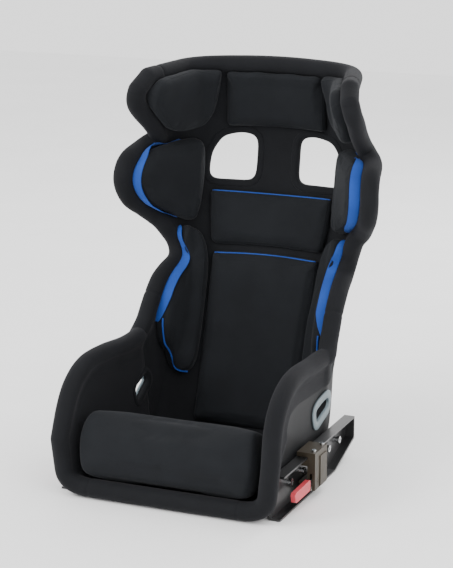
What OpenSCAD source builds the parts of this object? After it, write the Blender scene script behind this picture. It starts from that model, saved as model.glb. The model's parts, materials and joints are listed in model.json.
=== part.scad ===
// Winged motorsport bucket seat: laminated shell, padded fabric trim, side rails and
// quick-adjust carriages with sprung clamp plungers. +Y is the back of the seat, +Z is up.

/* [Shell] */
// Thickness of the laminated shell
shell_t = 5; // [3:1:6]
// Inner radius of the soft corner between floor and side walls
corner_r = 55; // [40:5:60]

/* [Trim] */
// Thickness of the fabric and foam liner
liner_t = 9; // [6:1:10]
// Radius of the padded roll around the rim of the shell
roll_r = 20; // [16:1:20]
// Thickness of the flat back and seat pads over the liner
flat_pad_t = 18; // [12:1:22]
// Thickness of the head, shoulder and torso bolsters over the liner
bolster_t = 31; // [22:1:32]

/* [Side rails] */
// Thickness of the rail's web and flanges
rail_t = 4; // [3:1:4]
// Height of the rail
rail_h = 88; // [84:1:92]
// Depth of the rail's channel, web and flange together
rail_w = 24; // [22:1:26]
// Distance from the centre plane to the inner face of the rail's web
rail_x = 224; // [224:1:228]
// Travel of the seat backwards over the carriages
travel_back = 90; // [30:5:90]
// Travel of the seat forwards over the carriages
travel_forward = 60; // [15:5:60]

/* [Carriage] */
// Length of the carriage along the rail
carriage_l = 72; // [70:2:78]
// Distance between the threaded holes in the foot of the carriage
foot_pitch = 32; // [30:1:34]
// Tapping radius of the threaded holes
foot_hole_r = 3.4; // [2.5:0.1:3.5]

/* [Hidden] */

// The frame's origin is on the ground under the middle of the seat's length.
mid_y = 9;
clear = 0.5;          // gap between the shell and its trim
pad_clear = 2;        // gap between the trim and the pads on it
seg_c = 5;            // surface cells over the flat floor or back, per half
seg_b = 5;            // surface cells round the soft corner
seg_w = 4;            // surface cells up the side wall

// Stations from the front lip to the top of the head rest. Each is
// [centre y, centre z, corner x, corner y, corner z, rim x, rim y, rim z].
STATIONS = [
    [-308, 21, 225, -306, 21, 236, -308, 120],
    [-285, 11, 208, -288, 11, 232, -286, 186],
    [-245, 6, 206, -250, 6, 230, -253, 229],
    [-190, 5, 207, -200, 5, 227, -201, 255],
    [-120, 5, 207, -130, 5, 220, -130, 260],
    [-50, 5, 207, -55, 5, 216, -45, 254],
    [20, 5, 207, 15, 5, 217, 20, 254],
    [75, 5, 207, 60, 6, 223, 46, 257],
    [115, 16, 206, 92, 24, 219, 70, 280],
    [145, 42, 203, 115, 60, 217, 92, 310],
    [170, 85, 198, 135, 105, 215, 111, 335],
    [195, 140, 192, 155, 155, 213, 138, 361],
    [218, 205, 186, 182, 215, 209, 167, 377],
    [238, 270, 178, 208, 275, 204, 205, 392],
    [256, 335, 172, 232, 330, 205, 222, 412],
    [270, 385, 170, 250, 378, 212, 222, 440],
    [284, 430, 171, 266, 425, 227, 206, 473],
    [296, 470, 174, 280, 468, 246, 194, 498],
    [306, 508, 177, 291, 508, 264, 166, 523],
    [314, 540, 180, 300, 541, 280, 136, 547],
    [322, 572, 182, 308, 574, 288, 120, 578],
    [329, 604, 182, 315, 605, 288, 120, 605],
    [334, 632, 182, 320, 632, 283, 140, 629],
    [337, 656, 180, 322, 656, 268, 192, 650],
    [339, 678, 180, 322, 676, 250, 215, 669],
    [340, 700, 180, 320, 696, 243, 202, 690],
    [340, 724, 180, 318, 718, 244, 172, 716],
    [340, 748, 180, 315, 744, 250, 134, 746],
    [338, 772, 180, 312, 770, 251, 111, 768],
    [335, 794, 180, 308, 794, 247, 106, 790],
    [330, 813, 182, 303, 807, 244, 109, 798],
    [322, 836, 190, 296, 830, 235, 136, 820]];
last = len(STATIONS) - 1;
seam = 7;             // station of the seam between lower and upper cover
end_trim = 0.12;      // share of a station cut off the shell at the front lip
seam_gap = 0.02;      // half the gap at a seam, as a share of a station

function clamp(v, lo, hi) = min(max(v, lo), hi);
function unit(v) = v / norm(v);
function row(i) = STATIONS[clamp(i, 0, last)];

// Smooth blend of the stations at any s from 0 to last.
function station(s) = let (i = min(floor(s), last - 1), t = s - i,
    p0 = row(i - 1), p1 = row(i), p2 = row(i + 1), p3 = row(i + 2))
    0.5 * (2 * p1 + (p2 - p0) * t + (2 * p0 - 5 * p1 + 4 * p2 - p3) * t * t
    + (3 * p1 - p0 - 3 * p2 + p3) * t * t * t);

// Right half of one cross-section, from the centre line to the rim.
function section(s) = let (v = station(s), c = [0, v[0], v[1]], k = [v[2], v[3], v[4]],
    r = [v[5], v[6], v[7]], lc = norm(k - c), lr = norm(r - k),
    corner = lookup(s, [[0, 34], [2, 45], [4, corner_r]]),
    b = min(corner, 0.45 * lr), a = min(1.6 * b, 0.5 * lc),
    p1 = k + (c - k) * a / lc, p2 = k + (r - k) * b / lr)
    concat([c], [for (i = [0:8]) let (t = i / 8)
        (1 - t) * (1 - t) * p1 + 2 * t * (1 - t) * k + t * t * p2], [r]);

// Running length along a polyline.
function lengths(q, i = 0, sum = 0, out = [0]) = i == len(q) - 1 ? out :
    let (d = sum + norm(q[i + 1] - q[i])) lengths(q, i + 1, d, concat(out, [d]));
function section_length(s) = let (d = lengths(section(s))) d[len(d) - 1];

// Point at distance a along the cross-section at station s; negative a is the left side.
function point(s, a) = let (q = section(clamp(s, 0, last)), d = lengths(q),
    b = min(abs(a), d[len(d) - 1]), p = [for (j = [0:2])
    lookup(b, [for (i = [0:len(q) - 1]) [d[i], q[i][j]]])])
    [a < 0 ? -p[0] : p[0], p[1], p[2]];
function normal(s, a) = let (m = section_length(s) - 3, b = clamp(a, -m, m))
    unit(cross(point(s, b + 2) - point(s, b - 2),
    point(min(s + 0.1, last), b) - point(max(s - 0.1, 0), b)));
function lifted(s, a, d) = point(s, a) + normal(s, a) * d;

// Closed solid from a grid of inner points and a grid of outer points.
module slab(top, bottom) {
    n = len(top);
    m = len(top[0]);
    function id(i, j, side) = (side * n + i) * m + j;
    function quad(a, b, c, d) = [[a, b, c], [a, c, d]];
    faces = [for (i = [0:n - 2], j = [0:m - 2], f = concat(
        quad(id(i, j, 0), id(i + 1, j, 0), id(i + 1, j + 1, 0), id(i, j + 1, 0)),
        quad(id(i, j, 1), id(i, j + 1, 1), id(i + 1, j + 1, 1), id(i + 1, j, 1)))) f];
    ends = [for (j = [0:m - 2], f = concat(
        quad(id(0, j, 0), id(0, j + 1, 0), id(0, j + 1, 1), id(0, j, 1)),
        quad(id(n - 1, j + 1, 0), id(n - 1, j, 0), id(n - 1, j, 1), id(n - 1, j + 1, 1)))) f];
    sides = [for (i = [0:n - 2], f = concat(
        quad(id(i + 1, 0, 0), id(i, 0, 0), id(i, 0, 1), id(i + 1, 0, 1)),
        quad(id(i, m - 1, 0), id(i + 1, m - 1, 0), id(i + 1, m - 1, 1), id(i, m - 1, 1)))) f];
    points = concat([for (r = top, p = r) p], [for (r = bottom, p = r) p]);
    polyhedron(points, concat(faces, ends, sides));
}

// A layer over the seat surface between two heights. Each row is [station, from, to], with
// the limits measured along the cross-section.
module layer(rows, cells, lo, hi) {
    top = [for (r = rows) [for (j = [0:cells])
        lifted(r[0], r[1] + (r[2] - r[1]) * j / cells, hi)]];
    bottom = [for (r = rows) [for (j = [0:cells])
        lifted(r[0], r[1] + (r[2] - r[1]) * j / cells, lo)]];
    slab(top, bottom);
}

// Tube along a path; refs point from the path towards the wall it edges.
module tube(path, refs, radius, sides = 10) {
    n = len(path);
    rings = [for (i = [0:n - 1]) let (
        t = unit(path[min(i + 1, n - 1)] - path[max(i - 1, 0)]),
        u = unit(refs[i] - t * (refs[i] * t)), v = cross(t, u))
        [for (j = [0:sides - 1]) path[i] + radius * (u * cos(360 * j / sides)
        + v * sin(360 * j / sides))]];
    faces = concat(
        [for (i = [0:n - 2], j = [0:sides - 1]) let (k = (j + 1) % sides)
            [i * sides + j, (i + 1) * sides + j, (i + 1) * sides + k]],
        [for (i = [0:n - 2], j = [0:sides - 1]) let (k = (j + 1) % sides)
            [i * sides + j, (i + 1) * sides + k, i * sides + k]],
        [[for (j = [0:sides - 1]) j]],
        [[for (j = [sides - 1:-1:0]) (n - 1) * sides + j]]);
    polyhedron([for (r = rings, p = r) p], faces);
}

module place() translate([0, -mid_y, 0]) children();
module both_sides(side) mirror([side < 0 ? 1 : 0, 0, 0]) children();
function upto(a, b, step) = concat([for (s = [a:step:b - step / 2]) s], [b]);

// ---------------------------------------------------------------- shell and liner

edge_min = 26;        // least distance from the edge of the shell to the rim's centre line
rim_fine = [for (s = [0:0.5:last]) rim(s)];
function near_rim(s, a) = min([for (d = [-shell_t - 4, 0, liner_t]) let (p = lifted(s, a, d))
    min([for (r = rim_fine) norm(p - r)])]);
// Distance from the rim, along a section, at which the shell ends.
function edge_gap(s, g = edge_min) = near_rim(s, section_length(s) - g) > edge_min - 0.5
    || g > 60 ? g : edge_gap(s, g + 2);

// Distances across a section: fewer cells on the flat, more round the corner.
function across(s) = let (q = section(s), d = lengths(q), a = d[1], b = d[len(d) - 2],
    e = d[len(d) - 1] - edge_gap(s), w = min(b, e - 2))
    concat([for (i = [0:seg_c]) a * i / seg_c], [for (i = [1:seg_b]) a + (w - a) * i / seg_b],
    [for (i = [1:seg_w]) w + (e - w) * i / seg_w]);
function full_row(s, d) = let (h = across(s), n = len(h) - 1)
    concat([for (i = [n:-1:1]) lifted(s, -h[i], d)], [for (i = [0:n]) lifted(s, h[i], d)]);

// Layer over whole cross-sections; the first row is moved a little way along the surface.
module skin(from, to, lo, hi, start = 0, end = 0) {
    tops = [for (s = [from:to]) full_row(s, hi)];
    lows = [for (s = [from:to]) full_row(s, lo)];
    slab(trimmed(tops, start, end), trimmed(lows, start, end));
}
function trimmed(rows, start, end) = let (n = len(rows) - 1) [for (i = [0:n])
    i == 0 ? (1 - start) * rows[0] + start * rows[1] :
    i == n ? (1 - end) * rows[n] + end * rows[n - 1] : rows[i]];

// Rounded polygon from corner points and one radius, as true arc points.
function rounded(pts, r, steps = 5) = let (n = len(pts)) [for (i = [0:n - 1])
    let (p = pts[i], a = unit(pts[(i + n - 1) % n] - p), b = unit(pts[(i + 1) % n] - p),
    half = acos(clamp(a * b, -1, 1)) / 2, t = r / tan(half), c = p + unit(a + b) * r / sin(half))
    for (k = [0:steps]) let (u = k / steps, w = (1 - u) * (p + a * t) + u * (p + b * t))
    c + unit(w - c) * r];

shoulder_hole = [[49, 566], [49, 672], [90, 678], [136, 668], [160, 630], [164, 566]];
lap_hole = [[-2, 112], [-16, 150], [54, 168], [70, 142]];
crotch_hole = [[-50, -102], [50, -102], [50, -62], [-50, -62]];

module belt_holes(grow) {
    for (side = [-1, 1]) both_sides(side) {
        translate([0, 480, 0]) rotate([90, 0, 0]) linear_extrude(300)
            polygon(rounded(grown(shoulder_hole, grow), 16));
        translate([150, 0, 0]) rotate([90, 0, 90]) linear_extrude(120)
            polygon(rounded(grown(lap_hole, grow), 14));
    }
    translate([0, 0, -20]) linear_extrude(90) polygon(rounded(grown(crotch_hole, grow), 15));
}
// Moves each corner away from the middle of the polygon.
function middle(pts) = let (s = [for (i = 0, v = [0, 0]; i <= len(pts);
    v = v + (i < len(pts) ? pts[i] : [0, 0]), i = i + 1) v]) s[len(pts)] / len(pts);
function grown(pts, g) = let (m = middle(pts)) [for (p = pts) p + unit(p - m) * g * 1.3];

module shell() color("#26282c") place() difference() {
    skin(1, last - 1, -shell_t, 0, end_trim);
    belt_holes(0);
    bolt_line() rotate([0, 90, 0]) cylinder(r = insert_r, h = 60, center = true, $fn = 32);
}

module cover_lower() color("#17181d") place() difference() {
    skin(1, seam, clear, liner_t, end_trim, seam_gap);
    belt_holes(4);
}
module cover_upper() color("#17181d") place() difference() {
    skin(seam, last - 1, clear, liner_t, seam_gap, 0);
    belt_holes(4);
}

// ---------------------------------------------------------------- rim

function reversed(q) = [for (i = [len(q) - 1:-1:0]) q[i]];
function rim(s) = let (v = station(s)) [v[5], v[6], v[7]];
function rim_ref(s) = let (t = s + lookup(s, [[0, 1.8], [3.5, 0], [27.5, 0], [last, -1.8]]))
    point(t, 0.8 * section_length(t)) - rim(s);
function end_path(s, inner, from, to, n) = let (m = section_length(s), k = section_length(inner))
    [for (i = [0:n]) let (u = from + (to - from) * i / n)
    [point(s, m * u), point(inner, k * u) - point(s, m * u)]];
function rim_path(from, to, step) = [for (s = concat([from], upto(from + 0.05, to - 0.05, step),
    [to])) [rim(s), rim_ref(s)]];
mitre = 0.54;         // share of the front edge, from the middle, that the lip roll covers
crown = 0.9;          // the same for the top edge
mitre_gap = 0.004;
roll_gap = 0.16;      // half the gap between thigh roll and wing roll, in stations

module roll(path) tube([for (p = path) p[0]], [for (p = path) p[1]], roll_r);
module lip_roll() color("#17181d") place()
    roll(end_path(0, 1.3, -mitre, mitre, 22));
module crown_roll() color("#17181d") place()
    roll(end_path(last, last - 1.3, -crown, crown, 22));
thigh_path = concat(end_path(0, 1.3, mitre + mitre_gap, 0.99, 7), rim_path(0.25, seam - roll_gap, 0.75));
wing_path = concat(rim_path(seam + roll_gap, last - 0.4, 0.8),
    reversed(end_path(last, last - 1.3, crown + mitre_gap, 0.99, 1)));
module thigh_roll_left() color("#17181d") place() both_sides(-1) roll(thigh_path);
module thigh_roll_right() color("#17181d") place() both_sides(1) roll(thigh_path);
module wing_roll_left() color("#17181d") place() both_sides(-1) roll(wing_path);
module wing_roll_right() color("#17181d") place() both_sides(1) roll(wing_path);

// Flap of the cover that turns over the rim and hugs the outside of the shell.
// Each entry is [station, distance of the hem from the rim's centre line].
skirt = [[1, 84], [2, 125], [3, 125], [4, 75], [5, 64], [6, 62], [7, 62], [8, 66], [9, 72], [10, 76],
    [11, 76], [12, 72], [13, 62], [14, 56], [15, 54], [16, 58], [17, 68], [18, 80], [19, 90],
    [20, 96], [21, 96], [22, 90], [23, 76], [24, 64], [25, 64], [26, 78], [27, 88], [28, 92],
    [29, 92], [30, 88]];
skirt_gap = 1.2;      // gap between the shell and the flap
module outer_skirt(side) both_sides(side) color("#17181d")
    layer([for (r = skirt) let (m = section_length(r[0])) [r[0], m - r[1],
    m - edge_gap(r[0])]], 5, -shell_t - skirt_gap - 3, -shell_t - skirt_gap);
module outer_skirt_left() place() outer_skirt(-1);
module outer_skirt_right() place() outer_skirt(1);

// ---------------------------------------------------------------- pads

pad_lo = liner_t + pad_clear;
flat_hi = pad_lo + flat_pad_t;
bolster_hi = pad_lo + bolster_t;

function spread(rows) = [for (r = rows) [r[0], -r[1], r[1]]];
module upper_back_pad() color("#1c1d22") place()
    layer(spread([[15.9, 138], [17, 146], [18, 150], [19.1, 153]]), 10, pad_lo, flat_hi);
module lumbar_pad() color("#1c1d22") place()
    layer(spread([[8.8, 120], [10.5, 125], [12, 129], [13.5, 130], [15.5, 131]]), 10, pad_lo,
    flat_hi);
module head_pad_center() color("#1c1d22") place()
    layer(spread([[24.7, 122], [26, 122], [28, 121], [29.2, 119], [30.1, 114]]), 10, pad_lo,
    flat_hi);
module seat_base_pad() color("#1c1d22") place() difference() {
    layer(spread([[3, 150], [4, 154], [5, 154], [6, 154], [7, 148], [7.3, 142]]), 12, pad_lo, flat_hi);
    belt_holes(2);
}

// Bolsters: [station, inner limit, outer limit] along the cross-section.
head_rows = [[25.3, 194, 236], [25.7, 170, 288], [26.3, 158, 322], [27, 149, 349],
    [28, 142, 368], [29, 136, 368], [29.8, 131, 346]];
shoulder_rows = [[16.9, 192, 234], [17.4, 182, 262], [18, 177, 303], [19, 175, 350],
    [20, 175, 375], [21, 176, 381], [22, 178, 364], [22.8, 184, 320], [23.6, 202, 256]];
torso_rows = [[9.2, 342, 390], [9.8, 292, 388], [10.3, 232, 382], [10.7, 152, 372],
    [11.2, 138, 354], [12, 136, 318], [13, 136, 266], [14, 137, 234], [15, 139, 227],
    [15.8, 152, 226], [16.3, 176, 220]];

// Least height over the surface at which a pad clears the roll of the rim.
rim_axis = concat([for (p = thigh_path) p[0]], [for (p = wing_path) p[0]]);
function segment_gap(p, a, b) = let (t = clamp((p - a) * (b - a) / ((b - a) * (b - a)), 0, 1))
    norm(p - a - t * (b - a));
function axis_gap(p) = min([for (i = [0:len(rim_axis) - 2])
    segment_gap(p, rim_axis[i], rim_axis[i + 1])]);
function clear_height(s, a, d = pad_lo) = d > bolster_hi - 5
    || axis_gap(lifted(s, a, d)) > roll_r + pad_clear + 1.2 ? d : clear_height(s, a, d + 1.5);
pad_rim_gap = 12;     // least distance from a bolster's outer edge to the rim's centre line
function outer_edge(r) = min(r[2], section_length(r[0]) - pad_rim_gap);

// Pad between two distances of each row, with its underside on the liner and the roll.
module roll_pad(rows, cells, hi) {
    grid = [for (r = rows) [for (j = [0:cells]) [r[0], r[1] + (r[2] - r[1]) * j / cells]]];
    slab([for (g = grid) [for (q = g) lifted(q[0], q[1], hi)]],
        [for (g = grid) [for (q = g) lifted(q[0], q[1], clear_height(q[0], q[1]))]]);
}
module bolster(side, rows) both_sides(side) color("#1b1c21")
    roll_pad([for (r = rows) [r[0], r[1], outer_edge(r)]], 10, bolster_hi);
module head_bolster_left() place() bolster(-1, head_rows);
module head_bolster_right() place() bolster(1, head_rows);
module shoulder_bolster_left() place() bolster(-1, shoulder_rows);
module shoulder_bolster_right() place() bolster(1, shoulder_rows);
module torso_bolster_left() place() bolster(-1, torso_rows);
module torso_bolster_right() place() bolster(1, torso_rows);

// Coloured side panels between a bolster's outer edge and the rim.
gusset_gap = 3.5;     // gap between a bolster and its gusset
gusset_w = 6;
module gusset(side, rows) both_sides(side) color("#3f74b8")
    roll_pad([for (i = [0:len(rows) - 3]) let (r = rows[i], a = outer_edge(r) + gusset_gap)
    [r[0], a, a + gusset_w]], 1, bolster_hi - 2);
module shoulder_gusset_left() place() gusset(-1, shoulder_rows);
module shoulder_gusset_right() place() gusset(1, shoulder_rows);
module torso_gusset_left() place() gusset(-1, torso_rows);
module torso_gusset_right() place() gusset(1, torso_rows);

// Wedge that fills the front opening under the thighs.
module thigh_cushion() color("#1c1d22") place() {
    front = [[-318, 47, 190], [-320, 70, 196], [-306, 130, 200], [-286, 166, 198],
        [-262, 178, 192], [-200, 150, 190], [-150, 110, 186], [-110, 60, 180]];
    under = [[-296, 40], [-280, 38], [-262, 38], [-240, 38], [-220, 38], [-190, 38], [-150, 38],
        [-112, 38]];
    slab([for (f = front) [for (j = [0:8]) [f[2] * (j / 4 - 1), f[0], f[1]]]],
        [for (i = [0:7]) [for (j = [0:8]) [(front[i][2] - 14) * (j / 4 - 1), under[i][0],
        under[i][1]]]]);
}

// ---------------------------------------------------------------- slot trims

// Flanged frame of a belt slot, for holes given in the plane of the sheet.
module frame_ring(pts, outer, inner, r, t) linear_extrude(t) difference() {
    polygon(rounded(grown(pts, outer), r + outer));
    polygon(rounded(grown(pts, -inner), r - inner));
}
bezel_x = 223.4;       // inner face of the bezel's flange
bezel_hole = 3;       // the bezel's opening is this much inside the slot
module lap_slot_bezel(side) both_sides(side) color("#6f7c80") rotate([90, 0, 90]) difference() {
    union() {
        translate([0, 0, bezel_x]) linear_extrude(3) polygon(rounded(grown(lap_hole, 10), 18));
        translate([0, 0, 203]) linear_extrude(bezel_x - 202) polygon(rounded(grown(lap_hole, -1), 13));
    }
    translate([0, 0, 200]) linear_extrude(30) polygon(rounded(grown(lap_hole, -bezel_hole), 11));
}
module lap_slot_bezel_left() place() lap_slot_bezel(-1);
module lap_slot_bezel_right() place() lap_slot_bezel(1);
module crotch_slot_bezel() color("#202226") place()
    translate([0, 0, 0.6]) frame_ring(crotch_hole, -0.6, 4, 15, 24);

// ---------------------------------------------------------------- side rails

web_in = rail_x;
web_out = rail_x + rail_t;
flange_out = rail_x + rail_w;
rail_front = -284;
rail_rear = 165;
kink_y = 40;          // the underside rises behind this point
rear_z = 37;
bolt_z = 54;
bolt_ys = [-195, -120, 30, 95];
insert_r = 7;
bolt_r = 4;
lock_z = 27;
lock_y = -85;

module bolt_line() for (side = [-1, 1], y = bolt_ys)
    translate([side * (rail_x - 10), y, bolt_z]) children();

module along_bolts(side) both_sides(side) for (y = bolt_ys)
    translate([0, y, bolt_z]) rotate([0, 90, 0]) children();

module side_profile() polygon([[rail_front, 0], [kink_y, 0], [rail_rear, rear_z],
    [rail_rear, rail_h], [-262, rail_h], [rail_front, 20]]);

module rail(side) both_sides(side) color("#1d1e20") difference() {
    union() {
        translate([web_in, 0, 0]) rotate([90, 0, 90]) linear_extrude(rail_t) side_profile();
        translate([web_in, 0, 0]) rotate([90, 0, 90]) linear_extrude(rail_w)
            polygon([[rail_front, 0], [kink_y, 0], [rail_rear, rear_z],
            [rail_rear, rear_z + rail_t + 1], [kink_y - 1, rail_t], [rail_front, rail_t]]);
        translate([web_in, -262, rail_h - rail_t])
            cube([rail_w, rail_rear + 262, rail_t]);
        translate([web_in, rail_rear - rail_t, rear_z]) cube([rail_w, rail_t, rail_h - rear_z]);
    }
    for (y = bolt_ys) translate([web_in - 1, y, bolt_z]) rotate([0, 90, 0])
        cylinder(r = bolt_r + 0.2, h = rail_t + 2, $fn = 32);
}
module rail_left() place() rail(-1);
module rail_right() place() rail(1);

spacer_l = 5;
module spacer_ring(x, h, r) translate([0, 0, x]) difference() {
    cylinder(r = r, h = h, $fn = 40);
    translate([0, 0, -1]) cylinder(r = bolt_r + 0.1, h = h + 2, $fn = 32);
}
module rail_spacers(side) color("#c9ccd0") along_bolts(side)
    spacer_ring(web_out, spacer_l, 5.8);
module rail_spacers_left() place() rail_spacers(-1);
module rail_spacers_right() place() rail_spacers(1);

insert_xs = [212, 211, 211, 204];     // inner ends of the threaded inserts
module shell_inserts(side) color("#b8bbbf") both_sides(side) for (i = [0:3])
    translate([insert_xs[i], bolt_ys[i], bolt_z]) rotate([0, 90, 0]) difference() {
        cylinder(r = insert_r - 0.1, h = web_in - insert_xs[i], $fn = 40);
        translate([0, 0, 3]) cylinder(r = bolt_r, h = 40, $fn = 32);
    }
module shell_inserts_left() place() shell_inserts(-1);
module shell_inserts_right() place() shell_inserts(1);

head_r = 7.5;
bolt_x = 216;
module rail_bolts(side) color("#d3d6da") along_bolts(side) difference() {
    union() {
        translate([0, 0, bolt_x]) cylinder(r = bolt_r, h = web_out + spacer_l - bolt_x, $fn = 32);
        translate([0, 0, web_out + spacer_l]) cylinder(r = head_r, h = 6, $fn = 40);
    }
    translate([0, 0, web_out + spacer_l + 3]) cylinder(r = 3.4, h = 4, $fn = 6);
}
module rail_bolts_left() place() rail_bolts(-1);
module rail_bolts_right() place() rail_bolts(1);

// Buffers that stop the carriage at the ends of its travel.
stop_gap = 1;
stop_l = 10;
module rail_stops(side) both_sides(side) color("#2a2a2c")
    for (y = [carriage_y - travel_back - stop_gap - stop_l,
        carriage_y + carriage_l + travel_forward + stop_gap])
        translate([web_out, y, rail_h - rail_t - 11]) cube([14, stop_l, 11]);
module rail_stops_left() place() rail_stops(-1);
module rail_stops_right() place() rail_stops(1);

// ---------------------------------------------------------------- carriages

carriage_y = -135;
block_t = 17;         // thickness of the block outside the rail
block_in = flange_out + 1.5;
block_out = block_in + block_t;
block_mid = block_in + block_t / 2;
foot_z = 18;
foot_y = lock_y;
top_z = rail_h + 11;
inside_x = web_out + 3;
tongue_w = flange_out - inside_x - 2;     // part of the carriage inside the rail's channel
upper_tongue = 14;
lower_tongue = 30;
groove_gap = 1.6;     // room for the glide pads round the top flange
plunger_r = 4;
collar_x = inside_x + 16.5;
pivot_y = -118;
pivot_z = 36;
pivot_r = 3;
cap_screw_ys = [-120, -71];
lever_t = 4;
lever_x = block_in + 6;

// Block outside the rail, bridge over its top flange, and tongues inside its channel.
module carriage(side) both_sides(side) color("#4a4438") difference() {
    translate([0, carriage_y, 0]) union() {
        translate([block_in, 0, foot_z]) cube([block_t, carriage_l, top_z - foot_z]);
        translate([web_in + 2, 0, rail_h + groove_gap])
            cube([block_out - web_in - 2, carriage_l, top_z - rail_h - groove_gap]);
        translate([inside_x, 0, rail_h - rail_t - upper_tongue])
            cube([tongue_w, carriage_l, upper_tongue - groove_gap]);
        translate([inside_x, 0, rail_t + groove_gap]) cube([tongue_w, carriage_l, lower_tongue]);
        translate([flange_out - 4, 0, foot_z]) cube([8, carriage_l, 16]);
        translate([flange_out - 4, 0, rail_h - rail_t - upper_tongue])
            cube([8, carriage_l, upper_tongue - groove_gap]);
    }
    translate([0, lock_y, lock_z]) rotate([0, 90, 0]) {
        translate([0, 0, inside_x - 1]) cylinder(r = pad_r + 0.6, h = 8, $fn = 40);
        translate([0, 0, inside_x - 1]) cylinder(r = plunger_r + 0.05, h = 18, $fn = 32);
        translate([0, 0, collar_x - 1]) cylinder(r = spring_r + 0.6, h = 30, $fn = 32);
    }
    for (y = [-foot_pitch / 2, foot_pitch / 2])
        translate([block_mid, foot_y + y, foot_z - 1]) cylinder(r = foot_hole_r, h = 26, $fn = 32);
    for (y = cap_screw_ys) translate([block_mid, y, top_z - 18])
        cylinder(r = screw_r, h = 30, $fn = 32);
    translate([lever_x - 0.8, pivot_y - 20, foot_z - 1]) cube([lever_t + 1.6, 30, 37]);
    translate([block_in + 1, pivot_y, pivot_z]) rotate([0, 90, 0])
        cylinder(r = pivot_r + 0.05, h = 16, $fn = 32);
}
module carriage_left() place() carriage(-1);
module carriage_right() place() carriage(1);

spring_r = 6;
screw_r = 2.5;
module glide_pads(side) both_sides(side) color("#e8e6df") translate([0, carriage_y + 4, 0]) {
    translate([inside_x, 0, rail_h + 0.1]) cube([flange_out - inside_x, carriage_l - 8,
        groove_gap - 0.1]);
    translate([inside_x, 0, rail_h - rail_t - groove_gap])
        cube([tongue_w, carriage_l - 8, groove_gap - 0.1]);
    translate([inside_x, 28, rail_t + 0.1]) cube([tongue_w, carriage_l - 36, groove_gap - 0.1]);
}
module glide_pads_left() place() glide_pads(-1);
module glide_pads_right() place() glide_pads(1);

module carriage_cap(side) both_sides(side) color("#3c382f")
    translate([block_out, carriage_y + 28, foot_z + 2]) cube([2, carriage_l - 36, 66]);
module carriage_cap_left() place() carriage_cap(-1);
module carriage_cap_right() place() carriage_cap(1);

module cap_screws(side) both_sides(side) color("#d3d6da") for (y = cap_screw_ys)
    translate([block_mid, y, top_z - 16]) difference() {
        union() {
            cylinder(r = screw_r, h = 16, $fn = 32);
            translate([0, 0, 16]) cylinder(r = 5, h = 3.5, $fn = 40);
        }
        translate([0, 0, 17.5]) cylinder(r = 2, h = 3, $fn = 6);
    }
module cap_screws_left() place() cap_screws(-1);
module cap_screws_right() place() cap_screws(1);

// ---------------------------------------------------------------- lock and lever

module along_plunger(side, x) both_sides(side) translate([x, lock_y, lock_z])
    rotate([0, 90, 0]) children();
module lock_plunger(side) color("#b8bbbf") along_plunger(side, inside_x) {
    cylinder(r = plunger_r, h = 26.5, $fn = 32);
    translate([0, 0, collar_x - inside_x]) cylinder(r = spring_r - 0.4, h = 3, $fn = 32);
}
module lock_plunger_left() place() lock_plunger(-1);
module lock_plunger_right() place() lock_plunger(1);

// Friction pad that the plunger presses on the web of the rail.
pad_r = 7;
pad_gap = 0.05;
module clamp_pad(side) color("#7a5a40") along_plunger(side, web_out + pad_gap)
    cylinder(r = pad_r, h = inside_x - web_out - pad_gap, $fn = 40);
module clamp_pad_left() place() clamp_pad(-1);
module clamp_pad_right() place() clamp_pad(1);

module lock_spring(side) color("#9a9da2") along_plunger(side, collar_x + 3.2) difference() {
    cylinder(r = spring_r, h = block_out - collar_x - 3.4, $fn = 32);
    translate([0, 0, -1]) cylinder(r = plunger_r + 0.6, h = 20, $fn = 32);
}
module lock_spring_left() place() lock_spring(-1);
module lock_spring_right() place() lock_spring(1);

module lever_pivot(side) both_sides(side) color("#b8bbbf")
    translate([block_in + 1, pivot_y, pivot_z]) rotate([0, 90, 0])
        cylinder(r = pivot_r, h = 15, $fn = 32);
module lever_pivot_left() place() lever_pivot(-1);
module lever_pivot_right() place() lever_pivot(1);

module release_lever(side) both_sides(side) color("#8d9095") translate([lever_x, 0, 0])
    rotate([90, 0, 90]) linear_extrude(lever_t) difference() {
        polygon(rounded([[-165, 30], [-165, 42], [-112, 42], [-112, 30]], 5));
        translate([pivot_y, pivot_z]) circle(r = pivot_r + 0.05, $fn = 32);
    }
module release_lever_left() place() release_lever(-1);
module release_lever_right() place() release_lever(1);

module release_grip(side) both_sides(side) color("#c8404c") translate([block_in + 3, 0, 0])
    rotate([90, 0, 90]) difference() {
        linear_extrude(10) polygon(rounded([[-234, 24], [-240, 46], [-150, 48], [-150, 24]], 6));
        translate([0, 0, 2.9]) linear_extrude(4.2) polygon([[-166, 29], [-166, 43], [-140, 43],
            [-140, 29]]);
    }
module release_grip_left() place() release_grip(-1);
module release_grip_right() place() release_grip(1);

shell();
shell_inserts_left();
shell_inserts_right();
cover_lower();
cover_upper();
lip_roll();
thigh_roll_left();
thigh_roll_right();
wing_roll_left();
wing_roll_right();
crown_roll();
outer_skirt_left();
outer_skirt_right();
head_pad_center();
head_bolster_left();
head_bolster_right();
shoulder_bolster_left();
shoulder_bolster_right();
shoulder_gusset_left();
shoulder_gusset_right();
torso_bolster_left();
torso_bolster_right();
torso_gusset_left();
torso_gusset_right();
upper_back_pad();
lumbar_pad();
seat_base_pad();
thigh_cushion();
lap_slot_bezel_left();
lap_slot_bezel_right();
crotch_slot_bezel();
rail_left();
rail_right();
rail_bolts_left();
rail_bolts_right();
rail_spacers_left();
rail_spacers_right();
rail_stops_left();
rail_stops_right();
carriage_left();
carriage_right();
glide_pads_left();
glide_pads_right();
carriage_cap_left();
carriage_cap_right();
cap_screws_left();
cap_screws_right();
lock_plunger_left();
clamp_pad_left();
lock_plunger_right();
clamp_pad_right();
lock_spring_left();
lock_spring_right();
lever_pivot_left();
lever_pivot_right();
release_lever_left();
release_lever_right();
release_grip_left();
release_grip_right();
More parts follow.
